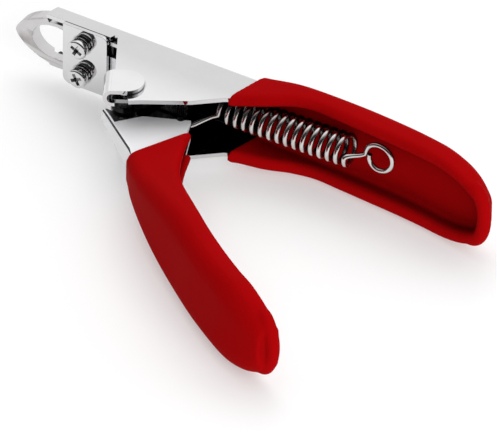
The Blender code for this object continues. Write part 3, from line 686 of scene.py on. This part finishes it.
def make_spring(look):
    """The return spring's wire, from its hook round the lever's pin through its coil to its open rear loop.
    """
    centres = [at(*place) for place in spring_points()]
    mesh = round_bar("return_spring_wire", centres, WIRE_RADIUS, 5)
    mesh.shade_smooth()
    mesh.set_sharp_from_angle(angle=CUT_FROM)
    mesh.materials.clear()
    mesh.materials.append(look)
    spring = new_object("return_spring_wire", mesh)
    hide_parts("return_spring")
    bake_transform(spring)


# ---------------------------------------------------------------- stage


def square(name, side, placement):
    """A flat square of this side in metres, put in its place by a matrix."""
    bm = bmesh.new()
    bmesh.ops.create_grid(bm, x_segments=1, y_segments=1, size=side / 2)
    bmesh.ops.transform(bm, matrix=placement, verts=bm.verts)
    mesh = bpy.data.meshes.new(name)
    bm.to_mesh(mesh)
    bm.free()
    return new_object(name, mesh)


def make_floor():
    """A plain pale floor just under the object, with a glow of its own that lightens the shadows."""
    floor = square("floor", FLOOR_SIZE, Matrix.Identity(4))
    floor.location.z = -FLOOR_GAP
    look, _, shader = principled("floor", (0.62, 0.62, 0.62), 0.0)
    shader.inputs["Roughness"].default_value = 0.8
    shader.inputs["Specular IOR Level"].default_value = 0.1
    shader.inputs["Emission Color"].default_value = (1.0, 1.0, 1.0, 1.0)
    shader.inputs["Emission Strength"].default_value = 0.36
    floor.data.materials.append(look)


def soft_light(name, place, size, power):
    """A square light aimed at the origin, under the object's middle. Polished steel doesn't mirror it."""
    data = bpy.data.lights.new(name, "AREA")
    data.size = size
    data.energy = power
    light = new_object(name, data)
    light.location = place
    light.rotation_mode = "QUATERNION"
    light.rotation_quaternion = (-place).to_track_quat("-Z", "Y")
    light.visible_glossy = False


def make_reflector():
    """A card that stands behind the clipper, seen only in its plating, and is brighter at its top."""
    upright = Matrix.Rotation(math.radians(90), 4, "X")
    card = square("reflector_card", CARD_SIZE, Matrix.Translation(CARD_MIDDLE) @ upright)
    card.visible_camera = False
    card.visible_diffuse = False
    card.visible_shadow = False
    look, tree, shader = principled("card", (0.0, 0.0, 0.0), 0.0)
    shader.inputs["Specular IOR Level"].default_value = 0.0
    place = tree.nodes.new("ShaderNodeTexCoord")
    parts = tree.nodes.new("ShaderNodeSeparateXYZ")
    tree.links.new(place.outputs["Object"], parts.inputs["Vector"])
    fade = spread(tree, parts.outputs["Z"], *CARD_TONES, *CARD_FADE)
    shader.inputs["Emission Color"].default_value = (1.0, 1.0, 1.0, 1.0)
    tree.links.new(fade, shader.inputs["Emission Strength"])
    card.data.materials.append(look)


def make_world():
    """A studio that is bright above and behind the object and dark in front of it."""
    world = bpy.data.worlds.new("studio")
    bpy.context.scene.world = world
    world.use_nodes = True
    tree = world.node_tree
    place = tree.nodes.new("ShaderNodeTexCoord")
    side = tree.nodes.new("ShaderNodeVectorMath")
    side.operation = "DOT_PRODUCT"
    side.inputs[1].default_value = SKY_TOWARDS
    tree.links.new(place.outputs["Generated"], side.inputs[0])
    background = tree.nodes["Background"]
    background.inputs["Color"].default_value = (1.0, 1.0, 1.0, 1.0)
    tone = spread(tree, side.outputs["Value"], *SKY_TONES, *SKY_FADE)
    tree.links.new(tone, background.inputs["Strength"])


def make_camera():
    """The camera, and a view transform that keeps the vinyl's red and the plating's white pure."""
    data = bpy.data.cameras.new("camera")
    data.sensor_width = SENSOR
    data.lens = SENSOR * CAMERA_DISTANCE / VIEW_WIDTH
    data.clip_end = 20.0
    camera = new_object("camera", data)
    direction = CAMERA_DIRECTION.normalized()
    up = direction.cross(CAMERA_RIGHT).normalized()
    camera.location = PIVOT + AIM_FROM_PIVOT + direction * CAMERA_DISTANCE
    camera.rotation_mode = "QUATERNION"
    camera.rotation_quaternion = Matrix((up.cross(direction), up, direction)).transposed().to_quaternion()
    bpy.context.scene.camera = camera
    bpy.context.scene.view_settings.view_transform = "Standard"


# ---------------------------------------------------------------- assembly


def main():
    make_camera()
    make_world()
    make_floor()
    soft_light("key", KEY_PLACE, KEY_SIZE, KEY_POWER)
    soft_light("fill", FILL_PLACE, FILL_SIZE, FILL_POWER)
    make_reflector()

    chrome = chrome_look()
    screw_steel = screw_steel_look()
    pin_steel = pin_steel_look()
    vinyl = vinyl_look()
    inside = channel_painted_shade_look()
    lever_bright_painted_chrome = lever_bright_painted_chrome_look()
    darken_inside(refined("frame", "frame_plate", 0.14, chrome, "frame", "chrome"), inside)
    refined("cover_plate", "cover_plate_face", 0.08, chrome, "frame", "chrome")
    darken_hub(refined("lever", "lever_plate", 0.14, lever_bright_painted_chrome, "lever", "chrome"), inside)
    refined("hinge_hook", "hinge_hook_plate", 0.10, chrome, "lever", "chrome")
    refined("cutting_ring", "nail_ring", 0.16, ring_steel_look(), "frame", "ring_steel")
    refined("blade", "sliding_blade", 0.05, blade_steel_look(), "blade", "blade_steel")
    for side in ("upper", "lower"):
        screw, washer, sleeve = f"pan_head_screw_{side}", f"split_washer_{side}", f"pivot_sleeve_{side}"
        refined(f"cover_screw_{side}", screw, 0.10, screw_steel, "frame", "screw_steel")
        refined(f"lock_washer_{side}", washer, 0.08, screw_steel, "frame", "screw_steel")
        refined(f"pivot_bush_{side}", sleeve, 0.10, pin_steel, "lever", "pin_steel")
    refined("pivot_pin", "pivot_pin_turned", 0.12, pin_steel, "frame", "pin_steel")
    refined("spring_pin", "spring_pin_turned", 0.12, pin_steel, "lever", "pin_steel")
    make_upper_grip(vinyl)
    make_lower_grip(vinyl)
    make_spring(spring_steel_look())


main()
